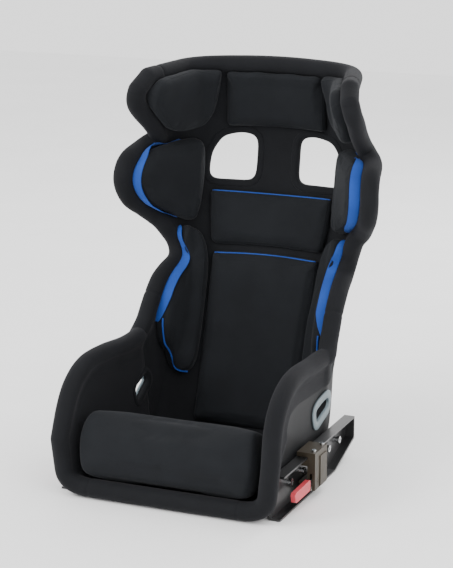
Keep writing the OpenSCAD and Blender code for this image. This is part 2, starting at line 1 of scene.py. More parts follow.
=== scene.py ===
"""Looks of the bucket seat: laminated shell, sewn cover, foam pads, rails and carriages.

Everything soft lies on one surface, S(s, a): s is the station along the seat, from the front
lip (0) to the top of the head rest (31), and a is the distance across it from the centre line.
Lengths are in metres. Heights d over the surface are positive towards the occupant.
"""

import functools
import json
import math

import bmesh
import bpy
import numpy as np
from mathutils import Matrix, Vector
from mathutils.bvhtree import BVHTree
from mathutils.kdtree import KDTree

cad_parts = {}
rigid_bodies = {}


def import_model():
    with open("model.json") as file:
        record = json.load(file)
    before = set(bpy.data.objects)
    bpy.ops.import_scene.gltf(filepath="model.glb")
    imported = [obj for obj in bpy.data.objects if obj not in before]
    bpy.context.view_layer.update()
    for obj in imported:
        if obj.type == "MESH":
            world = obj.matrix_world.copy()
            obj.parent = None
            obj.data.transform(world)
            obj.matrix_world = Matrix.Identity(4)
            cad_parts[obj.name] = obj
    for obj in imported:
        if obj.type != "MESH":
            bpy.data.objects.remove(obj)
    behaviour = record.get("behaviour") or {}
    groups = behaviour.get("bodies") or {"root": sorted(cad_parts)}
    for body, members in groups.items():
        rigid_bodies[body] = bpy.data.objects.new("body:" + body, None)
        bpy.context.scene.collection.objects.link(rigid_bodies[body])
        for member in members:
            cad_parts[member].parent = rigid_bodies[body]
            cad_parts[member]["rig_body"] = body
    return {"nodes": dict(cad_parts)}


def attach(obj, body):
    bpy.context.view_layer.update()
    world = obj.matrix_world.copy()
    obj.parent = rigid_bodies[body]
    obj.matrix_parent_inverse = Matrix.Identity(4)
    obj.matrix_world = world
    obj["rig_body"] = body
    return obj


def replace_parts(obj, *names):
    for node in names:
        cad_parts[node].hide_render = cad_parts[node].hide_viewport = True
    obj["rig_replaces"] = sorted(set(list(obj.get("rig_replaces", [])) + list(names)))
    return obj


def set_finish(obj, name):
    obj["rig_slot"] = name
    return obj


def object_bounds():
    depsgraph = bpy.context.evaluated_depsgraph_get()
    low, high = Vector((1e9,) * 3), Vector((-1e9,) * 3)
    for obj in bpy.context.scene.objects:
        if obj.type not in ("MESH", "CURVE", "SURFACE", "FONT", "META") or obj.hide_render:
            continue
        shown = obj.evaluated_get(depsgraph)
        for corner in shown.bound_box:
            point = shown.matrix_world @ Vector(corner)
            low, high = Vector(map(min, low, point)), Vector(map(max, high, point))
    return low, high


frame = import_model()
cad_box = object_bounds()
MM = 0.001

# ------------------------------------------------------------------ the seat's surface

MID_Y = 9 * MM
# centre y, z | corner x, y, z | rim x, y, z, in millimetres, as in the design
STATIONS = MM * np.array([
    [-308, 21, 225, -306, 21, 236, -308, 120], [-285, 11, 208, -288, 11, 232, -286, 186],
    [-245, 6, 206, -250, 6, 230, -253, 229], [-190, 5, 207, -200, 5, 227, -201, 255],
    [-120, 5, 207, -130, 5, 220, -130, 260], [-50, 5, 207, -55, 5, 216, -45, 254],
    [20, 5, 207, 15, 5, 217, 20, 254], [75, 5, 207, 60, 6, 223, 46, 257],
    [115, 16, 206, 92, 24, 219, 70, 280], [145, 42, 203, 115, 60, 217, 92, 310],
    [170, 85, 198, 135, 105, 215, 111, 335], [195, 140, 192, 155, 155, 213, 138, 361],
    [218, 205, 186, 182, 215, 209, 167, 377], [238, 270, 178, 208, 275, 204, 205, 392],
    [256, 335, 172, 232, 330, 205, 222, 412], [270, 385, 170, 250, 378, 212, 222, 440],
    [284, 430, 171, 266, 425, 227, 206, 473], [296, 470, 174, 280, 468, 246, 194, 498],
    [306, 508, 177, 291, 508, 264, 166, 523], [314, 540, 180, 300, 541, 280, 136, 547],
    [322, 572, 182, 308, 574, 288, 120, 578], [329, 604, 182, 315, 605, 288, 120, 605],
    [334, 632, 182, 320, 632, 283, 140, 629], [337, 656, 180, 322, 656, 268, 192, 650],
    [339, 678, 180, 322, 676, 250, 215, 669], [340, 700, 180, 320, 696, 243, 202, 690],
    [340, 724, 180, 318, 718, 244, 172, 716], [340, 748, 180, 315, 744, 250, 134, 746],
    [338, 772, 180, 312, 770, 251, 111, 768], [335, 794, 180, 308, 794, 247, 106, 790],
    [330, 813, 182, 303, 807, 244, 109, 798], [322, 836, 190, 296, 830, 235, 136, 820]])
LAST = len(STATIONS) - 1
SHELL_T = 5 * MM
LINER_TOP = 9 * MM
ROLL_R = 20 * MM
CENTRE_REACH = 80 * MM        # half width of the soft curve across the centre line
PROBE_A, PROBE_S = 3 * MM, 0.15   # steps across and along, for the surface's normal
RAY = 80 * MM                 # how far off the surface a ray starts


def unit(v):
    return v / np.maximum(np.linalg.norm(v, axis=-1, keepdims=True), 1e-12)


def station(s):
    """The row of STATIONS at s, on a smooth curve between the rows."""
    i = min(int(s), LAST - 1)
    t = s - i
    p0, p1, p2, p3 = (STATIONS[min(max(k, 0), LAST)] for k in (i - 1, i, i + 1, i + 2))
    return 0.5 * (2 * p1 + (p2 - p0) * t + (2 * p0 - 5 * p1 + 4 * p2 - p3) * t**2
                  + (3 * p1 - p0 - 3 * p2 + p3) * t**3)


@functools.lru_cache(maxsize=None)
def section(s):
    """Right half of a cross-section as a polyline, with its running length."""
    v = station(s)
    c, k, r = np.array([0, v[0], v[1]]), v[2:5], v[5:8]
    lc, lr = np.linalg.norm(k - c), np.linalg.norm(r - k)
    b = min(np.interp(s, [0, 2, 4], [34 * MM, 45 * MM, 55 * MM]), 0.45 * lr)
    a = min(1.6 * b, 0.5 * lc)
    p1, p2 = k + (c - k) * a / lc, k + (r - k) * b / lr
    t = np.linspace(0, 1, 21)[:, None]
    along = (p1 - c) / np.linalg.norm(p1 - c)
    reach = min(CENTRE_REACH, 0.8 * np.linalg.norm(p1 - c))
    x = np.linspace(0, 1, 9)[:, None]
    middle = c + along * reach * np.hstack([x, (x**2 + 1) / 2, (x**2 + 1) / 2])
    q = np.vstack([middle, (1 - t)**2 * p1 + 2 * t * (1 - t) * k + t**2 * p2, r])
    q[:, 1] -= MID_Y
    return q, np.r_[0, np.cumsum(np.linalg.norm(np.diff(q, axis=0), axis=1))]


def half_width(s):
    """Distance across the surface from the centre line to the rim line."""
    return section(round(min(max(s, 0), LAST), 4))[1][-1]


def point(s, a):
    """Points of the surface at station s, one for each distance a."""
    q, d = section(round(min(max(s, 0), LAST), 4))
    a = np.atleast_1d(a)
    p = np.stack([np.interp(np.abs(a), d, q[:, j]) for j in range(3)], 1)
    p[:, 0] *= np.where(a < 0, -1, 1)
    return p


def normal(s, a):
    """Directions off the surface, towards the occupant."""
    m = half_width(s) - PROBE_A
    a = np.clip(np.atleast_1d(a), -m, m)
    across = point(s, a + PROBE_A) - point(s, a - PROBE_A)
    along = point(min(s + PROBE_S, LAST), a) - point(max(s - PROBE_S, 0), a)
    return unit(np.cross(across, along))


def lifted(s, a, d):
    """Points at height d over the surface."""
    return point(s, a) + normal(s, a) * np.reshape(d, (-1, 1))


# ------------------------------------------------------------------ mesh helpers

def new_object(name, verts, faces, smooth=True):
    mesh = bpy.data.meshes.new(name)
    mesh.from_pydata([tuple(v) for v in verts], [], [tuple(f) for f in faces])
    mesh.validate()
    bm = bmesh.new()
    bm.from_mesh(mesh)
    bmesh.ops.recalc_face_normals(bm, faces=bm.faces)
    bm.to_mesh(mesh)
    bm.free()
    if smooth:
        mesh.shade_smooth()
    obj = bpy.data.objects.new(name, mesh)
    bpy.context.scene.collection.objects.link(obj)
    return obj


def grid_faces(n, m, offset=0, wrap=False):
    """Quads of an n by m grid of vertices; wrap closes the second direction."""
    k = m if wrap else m - 1
    return [(offset + i * m + j, offset + i * m + (j + 1) % m,
             offset + (i + 1) * m + (j + 1) % m, offset + (i + 1) * m + j)
            for i in range(n - 1) for j in range(k)]


def slab(name, top, bottom):
    """Closed piece from a grid of top points and a grid of bottom points, (n, m, 3) each."""
    n, m = top.shape[:2]
    faces = grid_faces(n, m) + [f[::-1] for f in grid_faces(n, m, n * m)]
    ring = ([(0, j) for j in range(m)] + [(i, m - 1) for i in range(1, n)]
            + [(n - 1, j) for j in range(m - 2, -1, -1)] + [(i, 0) for i in range(n - 2, 0, -1)])
    ids = [i * m + j for i, j in ring]
    faces += [(ids[k], ids[(k + 1) % len(ids)], n * m + ids[(k + 1) % len(ids)], n * m + ids[k])
              for k in range(len(ids))]
    return new_object(name, np.vstack([top.reshape(-1, 3), bottom.reshape(-1, 3)]), faces)


def sweep(name, rings, closed_path):
    """Tube from rings of points, (n, m, 3). Open paths get end caps."""
    n, m = rings.shape[:2]
    faces = grid_faces(n, m, wrap=True)
    if closed_path:
        faces += [((n - 1) * m + j, (n - 1) * m + (j + 1) % m, (j + 1) % m, j)
                  for j in range(m)]
    else:
        faces += [tuple(range(m))[::-1], tuple((n - 1) * m + j for j in range(m))]
    return new_object(name, rings.reshape(-1, 3), faces)


def resample(points, step, closed=False):
    """The same line with evenly spaced points."""
    p = np.vstack([points, points[:1]]) if closed else np.asarray(points)
    d = np.r_[0, np.cumsum(np.linalg.norm(np.diff(p, axis=0), axis=1))]
    n = max(int(round(d[-1] / step)), 4)
    t = np.linspace(0, d[-1], n + 1)[:n if closed else n + 1]
    return np.stack([np.interp(t, d, p[:, j]) for j in range(p.shape[1])], 1)


def smoothed(values, passes, closed=False):
    """Values averaged with their neighbours; the ends of an open row stay."""
    v = np.array(values, float)
    for _ in range(passes):
        mean = (np.roll(v, 1, 0) + np.roll(v, -1, 0)) / 2
        if not closed:
            mean[0], mean[-1] = v[0], v[-1]
        v = 0.5 * v + 0.5 * mean
    return v


def tangents(path, closed=False):
    if closed:
        return unit(np.roll(path, -1, 0) - np.roll(path, 1, 0))
    return unit(np.gradient(path, axis=0))


def cord_along(name, path, ups, radius, closed=False, sides=8):
    """Thin round tube on a path, for pipings and welts; ups are directions off the surface."""
    t = tangents(path, closed)
    side = unit(np.cross(t, ups))
    up = np.cross(side, t)
    angles = 2 * math.pi * np.arange(sides) / sides
    radius = np.broadcast_to(radius, len(path))[:, None, None]
    rings = path[:, None] + radius * (np.cos(angles)[None, :, None] * side[:, None]
                                      + np.sin(angles)[None, :, None] * up[:, None])
    return sweep(name, rings, closed)


def surface_tree(rows, d):
    """Search tree of the offset surface at height d, over the whole seat."""
    grid = np.array([lifted(s, np.linspace(-1, 1, 121) * half_width(s), d) for s in rows])
    verts = [Vector(p) for p in grid.reshape(-1, 3)]
    return BVHTree.FromPolygons(verts, grid_faces(len(rows), 121))


def onto(tree, p):
    """Nearest point of a searched surface."""
    return np.array(tree.find_nearest(Vector(p))[0])


def apply_modifiers(obj):
    deps = bpy.context.evaluated_depsgraph_get()
    mesh = bpy.data.meshes.new_from_object(obj.evaluated_get(deps))
    old = obj.data
    obj.modifiers.clear()
    obj.data = mesh
    bpy.data.meshes.remove(old)
    mesh.shade_smooth()


def cut(obj, cutters):
    for c in cutters:
        m = obj.modifiers.new("cut", "BOOLEAN")
        m.operation, m.object, m.solver = "DIFFERENCE", c, "EXACT"
    apply_modifiers(obj)


def finish_piece(obj, body, material, slot, replaces=()):
    """Gives a piece its material and says what it rides on, stands for and is filled with."""
    obj.data.materials.clear()
    obj.data.materials.append(material)
    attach(obj, body)
    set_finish(obj, slot)
    if replaces:
        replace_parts(obj, *replaces)
    return obj


def mirrored(obj, name):
    """The same piece on the other side of the centre plane."""
    other = obj.copy()
    other.data = obj.data.copy()
    other.name = other.data.name = name
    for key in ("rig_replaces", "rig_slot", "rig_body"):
        if key in other:
            del other[key]
    bpy.context.scene.collection.objects.link(other)
    co = np.zeros(len(other.data.vertices) * 3)
    other.data.vertices.foreach_get("co", co)
    co = co.reshape(-1, 3) * [-1, 1, 1]
    other.data.vertices.foreach_set("co", co.ravel())
    other.data.flip_normals()
    return other


# ------------------------------------------------------------------ materials

class Nodes:
    """Short way to build a material's nodes."""

    def __init__(self, name):
        self.material = bpy.data.materials.new(name)
        self.material.use_nodes = True
        self.tree = self.material.node_tree
        self.shader = self.tree.nodes["Principled BSDF"]
        self.position = self.add("ShaderNodeTexCoord").outputs["Object"]

    def add(self, kind, inputs=(), **settings):
        node = self.tree.nodes.new(kind)
        for key, value in settings.items():
            setattr(node, key, value)
        for key, value in dict(inputs).items():
            if isinstance(value, bpy.types.NodeSocket):
                self.tree.links.new(value, node.inputs[key])
            else:
                node.inputs[key].default_value = value
        return node

    def math(self, operation, a, b=0.0):
        return self.add("ShaderNodeMath", {0: a, 1: b}, operation=operation).outputs[0]

    def mix(self, factor, a, b):
        return self.math("ADD", self.math("MULTIPLY", a, self.math("SUBTRACT", 1.0, factor)),
                         self.math("MULTIPLY", b, factor))

    def noise(self, scale, detail=3, roughness=0.55, where=None):
        return self.add("ShaderNodeTexNoise", {"Vector": where or self.position, "Scale": scale,
                        "Detail": detail, "Roughness": roughness}).outputs["Fac"]

    def ramp(self, value, stops):
        node = self.add("ShaderNodeValToRGB", {"Fac": value})
        while len(node.color_ramp.elements) < len(stops):
            node.color_ramp.elements.new(0.5)
        for e, (at, colour) in zip(node.color_ramp.elements, stops):
            e.position, e.color = at, (*colour, 1)
        return node.outputs["Color"]

    def scale(self, value, low, high):
        return self.add("ShaderNodeMapRange", {"Value": value, "To Min": low,
                        "To Max": high}).outputs["Result"]

    def weave(self, pitch, twill=False):
        """Height of crossing threads, from 0 to 1, laid on whichever plane the face looks to."""
        xyz = self.add("ShaderNodeSeparateXYZ", {0: self.position}).outputs
        face = self.add("ShaderNodeNewGeometry").outputs["True Normal"]
        n = [self.math("POWER", self.math("ABSOLUTE", o), 4.0)
             for o in self.add("ShaderNodeSeparateXYZ", {0: face}).outputs]
        total = self.math("ADD", self.math("ADD", n[0], n[1]), n[2])
        waves = [self.math("MULTIPLY", o, math.pi / pitch) for o in xyz]
        out = None
        for axis, (i, j) in enumerate([(1, 2), (0, 2), (0, 1)]):
            a, b = (self.math("ABSOLUTE", self.math("SINE", waves[k])) for k in (i, j))
            if twill:
                phase = self.math("ADD", waves[i], waves[j])
                over = self.math("GREATER_THAN", self.math("SINE", phase), 0.0)
            else:
                over = self.math("GREATER_THAN", self.math("MULTIPLY", self.math(
                    "SINE", waves[i]), self.math("SINE", waves[j])), 0.0)
            part = self.math("MULTIPLY", self.mix(over, a, b), n[axis])
            out = part if out is None else self.math("ADD", out, part)
        return self.math("DIVIDE", out, total)

    def bump(self, *layers):
        """Layers are (height, strength, distance)."""
        normal = None
        for height, strength, distance in layers:
            inputs = {"Height": height, "Strength": strength, "Distance": distance}
            if normal is not None:
                inputs["Normal"] = normal
            normal = self.add("ShaderNodeBump", inputs).outputs["Normal"]
        self.tree.links.new(normal, self.shader.inputs["Normal"])

    def put(self, **sockets):
        for key, value in sockets.items():
            name = key.replace("_", " ")
            if isinstance(value, bpy.types.NodeSocket):
                self.tree.links.new(value, self.shader.inputs[name])
            else:
                self.shader.inputs[name].default_value = value
        return self


def fabric(name, dark, light, sheen, tint, pitch=1.1 * MM):
    """Close warp knit: fine ribs, a soft nap and slow changes of shade."""
    k = Nodes(name)
    threads = k.weave(pitch)
    slow, fuzz = k.noise(14, 4), k.noise(900, 2)
    shade = k.math("ADD", k.math("MULTIPLY", slow, 0.55), k.math("MULTIPLY", threads, 0.35))
    k.put(Base_Color=k.ramp(shade, [(0.22, dark), (0.72, light)]),
          Roughness=k.scale(fuzz, 0.78, 0.95), Specular_IOR_Level=0.16,
          Sheen_Weight=sheen, Sheen_Roughness=0.45, Sheen_Tint=(*tint, 1))
    k.bump((threads, 0.45, 0.25 * MM), (fuzz, 0.25, 0.2 * MM), (k.noise(60, 3), 0.12, 1.5 * MM))
    return k.material


def laminate(name):
    """Fibre laminate under clear resin: 2x2 twill, pale at the thread tops."""
    k = Nodes(name)
    threads = k.weave(2.4 * MM, twill=True)
    cloudy = k.noise(25, 4)
    shade = k.math("ADD", k.math("MULTIPLY", threads, 0.75), k.math("MULTIPLY", cloudy, 0.25))
    k.put(Base_Color=k.ramp(shade, [(0.15, (0.003, 0.003, 0.0035)), (0.9, (0.02, 0.0205, 0.022))]),
          Roughness=k.scale(cloudy, 0.5, 0.62), Specular_IOR_Level=0.12,
          Coat_Weight=0.03, Coat_Roughness=0.3)
    k.bump((threads, 0.3, 0.25 * MM), (k.noise(40, 2), 0.08, 1 * MM))
    return k.material


def painted(name, colour, rough, metallic=0.0, grain=700, grain_depth=0.05 * MM, wear_and_highlight_colour=None,
            wear_and_highlight_amount=0.5, coat=0.0):
    """Moulded, painted or machined surface: fine grain, uneven gloss, and lighter edges that are
    part rubbed wear, part painted highlight.
    """
    k = Nodes(name)
    grainy, cloudy = k.noise(grain, 3), k.noise(35, 4)
    dark = tuple(c * 0.82 for c in colour)
    base = k.ramp(cloudy, [(0.3, dark), (0.7, colour)])
    # Lighter colour at edges from the Bevel node's mask: partly rubbed wear, partly a painted
    # highlight where rounded edges would catch the light.
    if wear_and_highlight_colour:
        soft = k.add("ShaderNodeBevel", {"Radius": 1.2 * MM}, samples=4).outputs["Normal"]
        hard = k.add("ShaderNodeNewGeometry").outputs["Normal"]
        along = k.add("ShaderNodeVectorMath", {0: soft, 1: hard}, operation="DOT_PRODUCT")
        edge = k.math("MULTIPLY", k.math("SUBTRACT", 1.0, along.outputs["Value"]),
                      k.scale(k.noise(90, 4), 0.0, 9.0 * wear_and_highlight_amount))
        base = k.add("ShaderNodeMixRGB", {"Fac": k.math("MINIMUM", edge, 1.0), "Color1": base,
                     "Color2": (*wear_and_highlight_colour, 1)}).outputs["Color"]
    k.put(Base_Color=base, Metallic=metallic, Roughness=k.scale(cloudy, rough - 0.07, rough + 0.08),
          Coat_Weight=coat)
    k.bump((grainy, 0.35, grain_depth))
    return k.material


FABRIC = fabric("trim_fabric", (0.0036, 0.0039, 0.0048), (0.0082, 0.0088, 0.0106), 0.06,
                (0.62, 0.61, 0.66))
PAD_FABRIC = fabric("pad_fabric", (0.0044, 0.0050, 0.0062), (0.0092, 0.0104, 0.0126), 0.07,
                    (0.6, 0.62, 0.66), 1.3 * MM)
BLUE = fabric("blue_fabric", (0.010, 0.040, 0.21), (0.020, 0.072, 0.33), 0.08, (0.4, 0.6, 1.0))
LAMINATE = laminate("fibre_laminate")
# The lighter edge colours given below are part rubbed wear, part painted highlight on the edges.
BEZEL = painted("grey_plastic", (0.15, 0.19, 0.21), 0.45, wear_and_highlight_colour=(0.3, 0.34, 0.36), wear_and_highlight_amount=0.25)
DARK_PLASTIC = painted("black_plastic", (0.014, 0.014, 0.016), 0.5, wear_and_highlight_colour=(0.05, 0.05, 0.05),
                       wear_and_highlight_amount=0.3)
STEEL_BLACK = painted("black_steel", (0.010, 0.010, 0.011), 0.36, grain=1500,
                      grain_depth=0.012 * MM, wear_and_highlight_colour=(0.06, 0.06, 0.062), wear_and_highlight_amount=0.12, coat=0.2)
ZINC = painted("zinc_steel", (0.66, 0.67, 0.68), 0.24, metallic=1.0, grain=900)
ALUMINIUM = painted("bronze_aluminium", (0.058, 0.046, 0.031), 0.42, metallic=0.5, grain=1500,
                    grain_depth=0.015 * MM, wear_and_highlight_colour=(0.16, 0.14, 0.11), wear_and_highlight_amount=0.15)
RUBBER = painted("black_rubber", (0.016, 0.016, 0.016), 0.75, grain=500)
GLIDE = painted("glide_plastic", (0.62, 0.60, 0.54), 0.4, grain=600)
SPRING = painted("spring_steel", (0.42, 0.42, 0.43), 0.3, metallic=1.0)
LEVER = painted("lever_steel", (0.40, 0.40, 0.42), 0.3, metallic=1.0, wear_and_highlight_colour=(0.6, 0.6, 0.6),
                wear_and_highlight_amount=0.3)
RED = painted("red_plastic", (0.60, 0.055, 0.075), 0.42, grain=500, wear_and_highlight_colour=(0.72, 0.2, 0.2),
              wear_and_highlight_amount=0.3)
LINING = painted("friction_lining", (0.20, 0.12, 0.07), 0.8, grain=1400, grain_depth=0.2 * MM)

CAD_LOOKS = {
    "shell_inserts": ZINC, "crotch_slot_bezel": DARK_PLASTIC, "rail_bolts": ZINC,
    "rail_spacers": ZINC, "rail_stops": RUBBER, "carriage_cap": ALUMINIUM,
    "glide_pads": GLIDE, "cap_screws": ZINC, "lock_plunger": LEVER, "lock_spring": SPRING,
    "clamp_pad": LINING, "lever_pivot": LEVER, "release_lever": LEVER, "release_grip": RED,
    "rail": STEEL_BLACK, "carriage": ALUMINIUM}
for node_name, node in frame["nodes"].items():
    look = CAD_LOOKS.get(node_name.removesuffix("_left").removesuffix("_right"))
    if look:
        node.data.materials.clear()
        node.data.materials.append(look)

# ------------------------------------------------------------------ belt slots

# Outlines in millimetres: shoulder slots in x, z; lap slots in y, z; crotch slot in x, y.
SHOULDER_SLOT = [(49, 566), (49, 672), (90, 678), (136, 668), (160, 630), (164, 566)]
LAP_SLOT = [(-2, 112), (-16, 150), (54, 168), (70, 142)]
CROTCH_SLOT = [(-50, -102), (50, -102), (50, -62), (-50, -62)]
SHOULDER_CORNER, LAP_CORNER, CROTCH_CORNER = 16 * MM, 8 * MM, 15 * MM
# Where each cutter starts and ends: along y, outwards along x, and along z, in metres.
SHOULDER_CUT, LAP_CUT, CROTCH_CUT = (0.18, 0.48), (0.15, 0.27), (-0.02, 0.07)


def rounded(points, grow, r, steps=8):
    """Polygon with its corners moved out by grow and rounded by r, in metres."""
    p = MM * np.array(points, float)
    p += unit(p - p.mean(0)) * grow * 1.3
    out = []
    for i in range(len(p)):
        a, b = unit(p[i - 1] - p[i]), unit(p[(i + 1) % len(p)] - p[i])
        half = math.acos(float(a @ b)) / 2
        c, t = p[i] + unit(a + b) * r / math.sin(half), r / math.tan(half)
        for u in np.linspace(0, 1, steps + 1):
            w = (1 - u) * (p[i] + a * t) + u * (p[i] + b * t)
            out.append(c + unit(w - c) * r)
    return np.array(out)


def in_space(flat, plane, depth):
    """Points of a flat outline in the seat's frame, with the third coordinate depth."""
    deep = np.full(len(flat), depth)
    if plane == "xz":
        return np.stack([flat[:, 0], deep, flat[:, 1]], 1)
    if plane == "yz":
        return np.stack([deep, flat[:, 0] - MID_Y, flat[:, 1]], 1)
    return np.stack([flat[:, 0], flat[:, 1] - MID_Y, deep], 1)


def prism(name, flat, plane, near, far):
    """Straight-sided solid from a flat outline, between two depths."""
    rings = np.array([in_space(flat, plane, near), in_space(flat, plane, far)])
    obj = sweep(name, rings, False)
    obj.data.shade_flat()
    return obj


def crotch_cutter(grow):
    return prism("cutter", rounded(CROTCH_SLOT, grow, CROTCH_CORNER), "xy", *CROTCH_CUT)


def slot_cutters(grow):
    """Cutters for the five belt slots, each larger than its slot by grow."""
    cutters = []
    for side in (-1, 1):
        flip = np.array([side, 1])
        cutters.append(prism("cutter", rounded(SHOULDER_SLOT, grow, SHOULDER_CORNER) * flip, "xz",
                             *SHOULDER_CUT))
        cutters.append(prism("cutter", rounded(LAP_SLOT, grow, LAP_CORNER), "yz",
                             *(side * x for x in LAP_CUT)))
    return cutters + [crotch_cutter(grow)]


def drop(cutters):
    for c in cutters:
        bpy.data.objects.remove(c)


# ------------------------------------------------------------------ shell and liner

FINE = [round(s, 3) for s in np.arange(0, LAST + 0.01, 1 / 6)]
TOP_TREE = surface_tree(FINE, LINER_TOP)
BACK_TREE = surface_tree(FINE, -SHELL_T)
MID_TREE = surface_tree(FINE, 0.0)


def whole_layer(name, low, high, edge, rows, cells=44):
    """Layer over the whole seat, between two heights, ending edge short of the rim line."""
    t = np.linspace(-1, 1, 2 * cells + 1)
    grid = [[lifted(s, t * (half_width(s) - edge), d) for s in rows] for d in (high, low)]
    return slab(name, np.array(grid[0]), np.array(grid[1]))


def spaced(lo, hi, step):
    """Stations from lo to hi, about step apart."""
    return [round(s, 4) for s in np.linspace(lo, hi, int(round((hi - lo) / step)) + 1)]


SHELL_EDGE, LINER_EDGE = 14 * MM, 13 * MM     # how far each layer ends short of the rim line
SEAM, SEAM_GAP = 7, 0.003     # station of the seam between the covers, and half its gap
SLOT_TURN = 4 * MM            # how far the covers stay clear of a slot's edge

shell = whole_layer("shell_laminate", -SHELL_T, 0.0, SHELL_EDGE, spaced(0.25, 30.7, 0.15))
cutters = slot_cutters(0)
cut(shell, cutters)
drop(cutters)
finish_piece(shell, "seat", LAMINATE, "laminate", ["shell"])

cutters = slot_cutters(SLOT_TURN)
for name, lo, hi in [("cover_lower", 0.3, SEAM - SEAM_GAP),
                     ("cover_upper", SEAM + SEAM_GAP, 30.65)]:
    liner = whole_layer(name + "_fabric", 0.6 * MM, LINER_TOP, LINER_EDGE, spaced(lo, hi, 0.14))
    cut(liner, cutters)
    finish_piece(liner, "seat", FABRIC, "trim_fabric", [name])
drop(cutters)

# ------------------------------------------------------------------ padded rim

# Distance of the outer flap's hem from the rim line, by station, in millimetres.
HEM = [(0, 105), (1, 108), (2, 84), (3, 64), (4, 60), (5, 60), (6, 62), (7, 62), (8, 66), (9, 72),
       (10, 76), (11, 76), (12, 72), (13, 62), (14, 56), (15, 54), (16, 58), (17, 68), (18, 80),
       (19, 90), (20, 96), (21, 96), (22, 90), (23, 76), (24, 64), (25, 64), (26, 78), (27, 88),
       (28, 92), (29, 92), (31, 88)]
LIP_HEM = 36
CROWN_HEM = 70
FLAP_TOP = -9.2 * MM          # outer face of the flap
FLAP_LOW = -6.0 * MM          # its inner face
FLAP_START, FLAP_INNER = 28 * MM, 26 * MM     # where these two faces leave the roll
RIM_STEP, RIM_FINE = 6 * MM, 1.5 * MM         # spacing of the rim's rings and search points
PINCH, PINCH_REACH = 0.9 * MM, 4 * MM         # how the rim narrows at its seams
ELBOW = 9.9                   # station of the seam across the rim, behind the elbows
LIP_END, CROWN_END = 0.54, 0.9


def rim_nodes():
    """Half of the boundary, from the middle of the lip up the side to the middle of the crown.
    Each is (station, share of the half width, hem distance)."""
    lip = [(0, u, LIP_HEM + (HEM[0][1] - LIP_HEM) * max(0, (u - 0.5) / 0.5)**2)
           for u in np.linspace(0, 1, 40)]
    side = [(s, 1, np.interp(s, *zip(*HEM))) for s in np.arange(0.1, LAST - 0.05, 0.1)]
    top = [(LAST, u, CROWN_HEM + (HEM[-1][1] - CROWN_HEM) * max(0, (u - 0.6) / 0.4)**2)
           for u in np.linspace(1, 0, 50)]
    return lip + side + top


def rim_table():
    """Closed loop round the seat: position, surface normal, hem distance, station and share
    of the half width, which is negative on the left."""
    rows = []
    for s, u, hem in rim_nodes():
        m = half_width(s)
        p = point(s, u * m)[0]
        inner_s = min(max(s, 0.5), LAST - 0.5)
        n = normal(inner_s, min(u * half_width(inner_s), half_width(inner_s) - 28 * MM))[0]
        rows.append([*p, *n, hem * MM, s, u])
    right = np.array(rows)
    left = right[::-1][1:-1].copy()
    left[:, [0, 3]] *= -1
    left[:, 8] *= -1
    return np.vstack([right, left])


loop = rim_table()
step_lengths = np.linalg.norm(np.diff(np.vstack([loop, loop[:1]])[:, :3], axis=0), axis=1)
loop = loop[step_lengths > 0.2 * MM]
loop = resample(loop, RIM_STEP, closed=True)
RIM = smoothed(loop[:, :3], 6, closed=True)
RIM_N = unit(smoothed(loop[:, 3:6], 30, closed=True))
RIM_T = tangents(RIM, closed=True)
RIM_N = unit(RIM_N - RIM_T * np.sum(RIM_N * RIM_T, 1, keepdims=True))
RIM_IN = np.cross(RIM_N, RIM_T)
RIM_HEM = smoothed(loop[:, 6], 14, closed=True)
RIM_S, RIM_U = loop[:, 7], loop[:, 8]
FULLER = 0.3                  # how much further the roll stands out round the wings
RIM_WING = smoothed(np.clip(np.minimum((RIM_S - 13) / 4, (LAST - 0.5 - RIM_S) / 2), 0, 1), 20,
                    closed=True)


def rim_ring(i, pinch):
    """Closed cross-section of the cover at one place of the rim."""
    p, n, u, hem = RIM[i], RIM_N[i], RIM_IN[i], RIM_HEM[i]
    r = ROLL_R - pinch
    out = []
    for w, d in [(46, -0.8), (42, 0.05), (34, 0.1), (28, 0.5)]:
        q = onto(TOP_TREE, p + u * w * MM + n * LINER_TOP)
        out.append(q + n * (d * MM))
    for angle in np.radians(np.linspace(38, 322, 25)):
        wide = FULLER if math.cos(angle) < 0 else 0
        out.append(p + u * r * math.cos(angle) * (1 + wide * RIM_WING[i])
                   + n * r * math.sin(angle))
    for w in np.linspace(FLAP_START, hem, 9):
        q = onto(BACK_TREE, p + u * w - n * SHELL_T)
        puff = 0.6 * MM * math.exp(-((w - hem + 9 * MM) / (3 * MM))**2)
        out.append(q + n * (FLAP_TOP + SHELL_T - puff))
    for w, d in [(hem + 1.0 * MM, -8.4 * MM), (hem + 1.0 * MM, -6.6 * MM), (hem, FLAP_LOW),
                 ((hem + FLAP_INNER) / 2, FLAP_LOW), (FLAP_INNER, FLAP_LOW)]:
        q = onto(BACK_TREE, p + u * w - n * SHELL_T)
        out.append(q + n * (d + SHELL_T))
    for w, d in [(18, 0.0), (26, 7.6), (45, 7.6)]:
        q = onto(MID_TREE, p + u * w * MM)
        out.append(q + n * (d * MM))
    return out


def rim_span(name, inside):
    """Part of the padded rim, between two seams. inside says which places belong to it."""
    chosen = np.nonzero([inside(s, u) for s, u in zip(RIM_S, RIM_U)])[0]
    breaks = np.nonzero(np.diff(chosen) > 1)[0]
    if len(breaks):
        chosen = np.r_[chosen[breaks[0] + 1:], chosen[:breaks[0] + 1]]
    ends = np.r_[0, np.cumsum(np.linalg.norm(np.diff(RIM[chosen], axis=0), axis=1))]
    near = np.minimum(ends, ends[-1] - ends)
    rings = np.array([rim_ring(i, PINCH * math.exp(-(near[k] / PINCH_REACH)**2))
                      for k, i in enumerate(chosen)])
    gap = 0.12                # share of the last step left open at the seam
    rings[0] = (1 - gap) * rings[0] + gap * rings[1]
    rings[-1] = (1 - gap) * rings[-1] + gap * rings[-2]
    return sweep(name, rings, False)


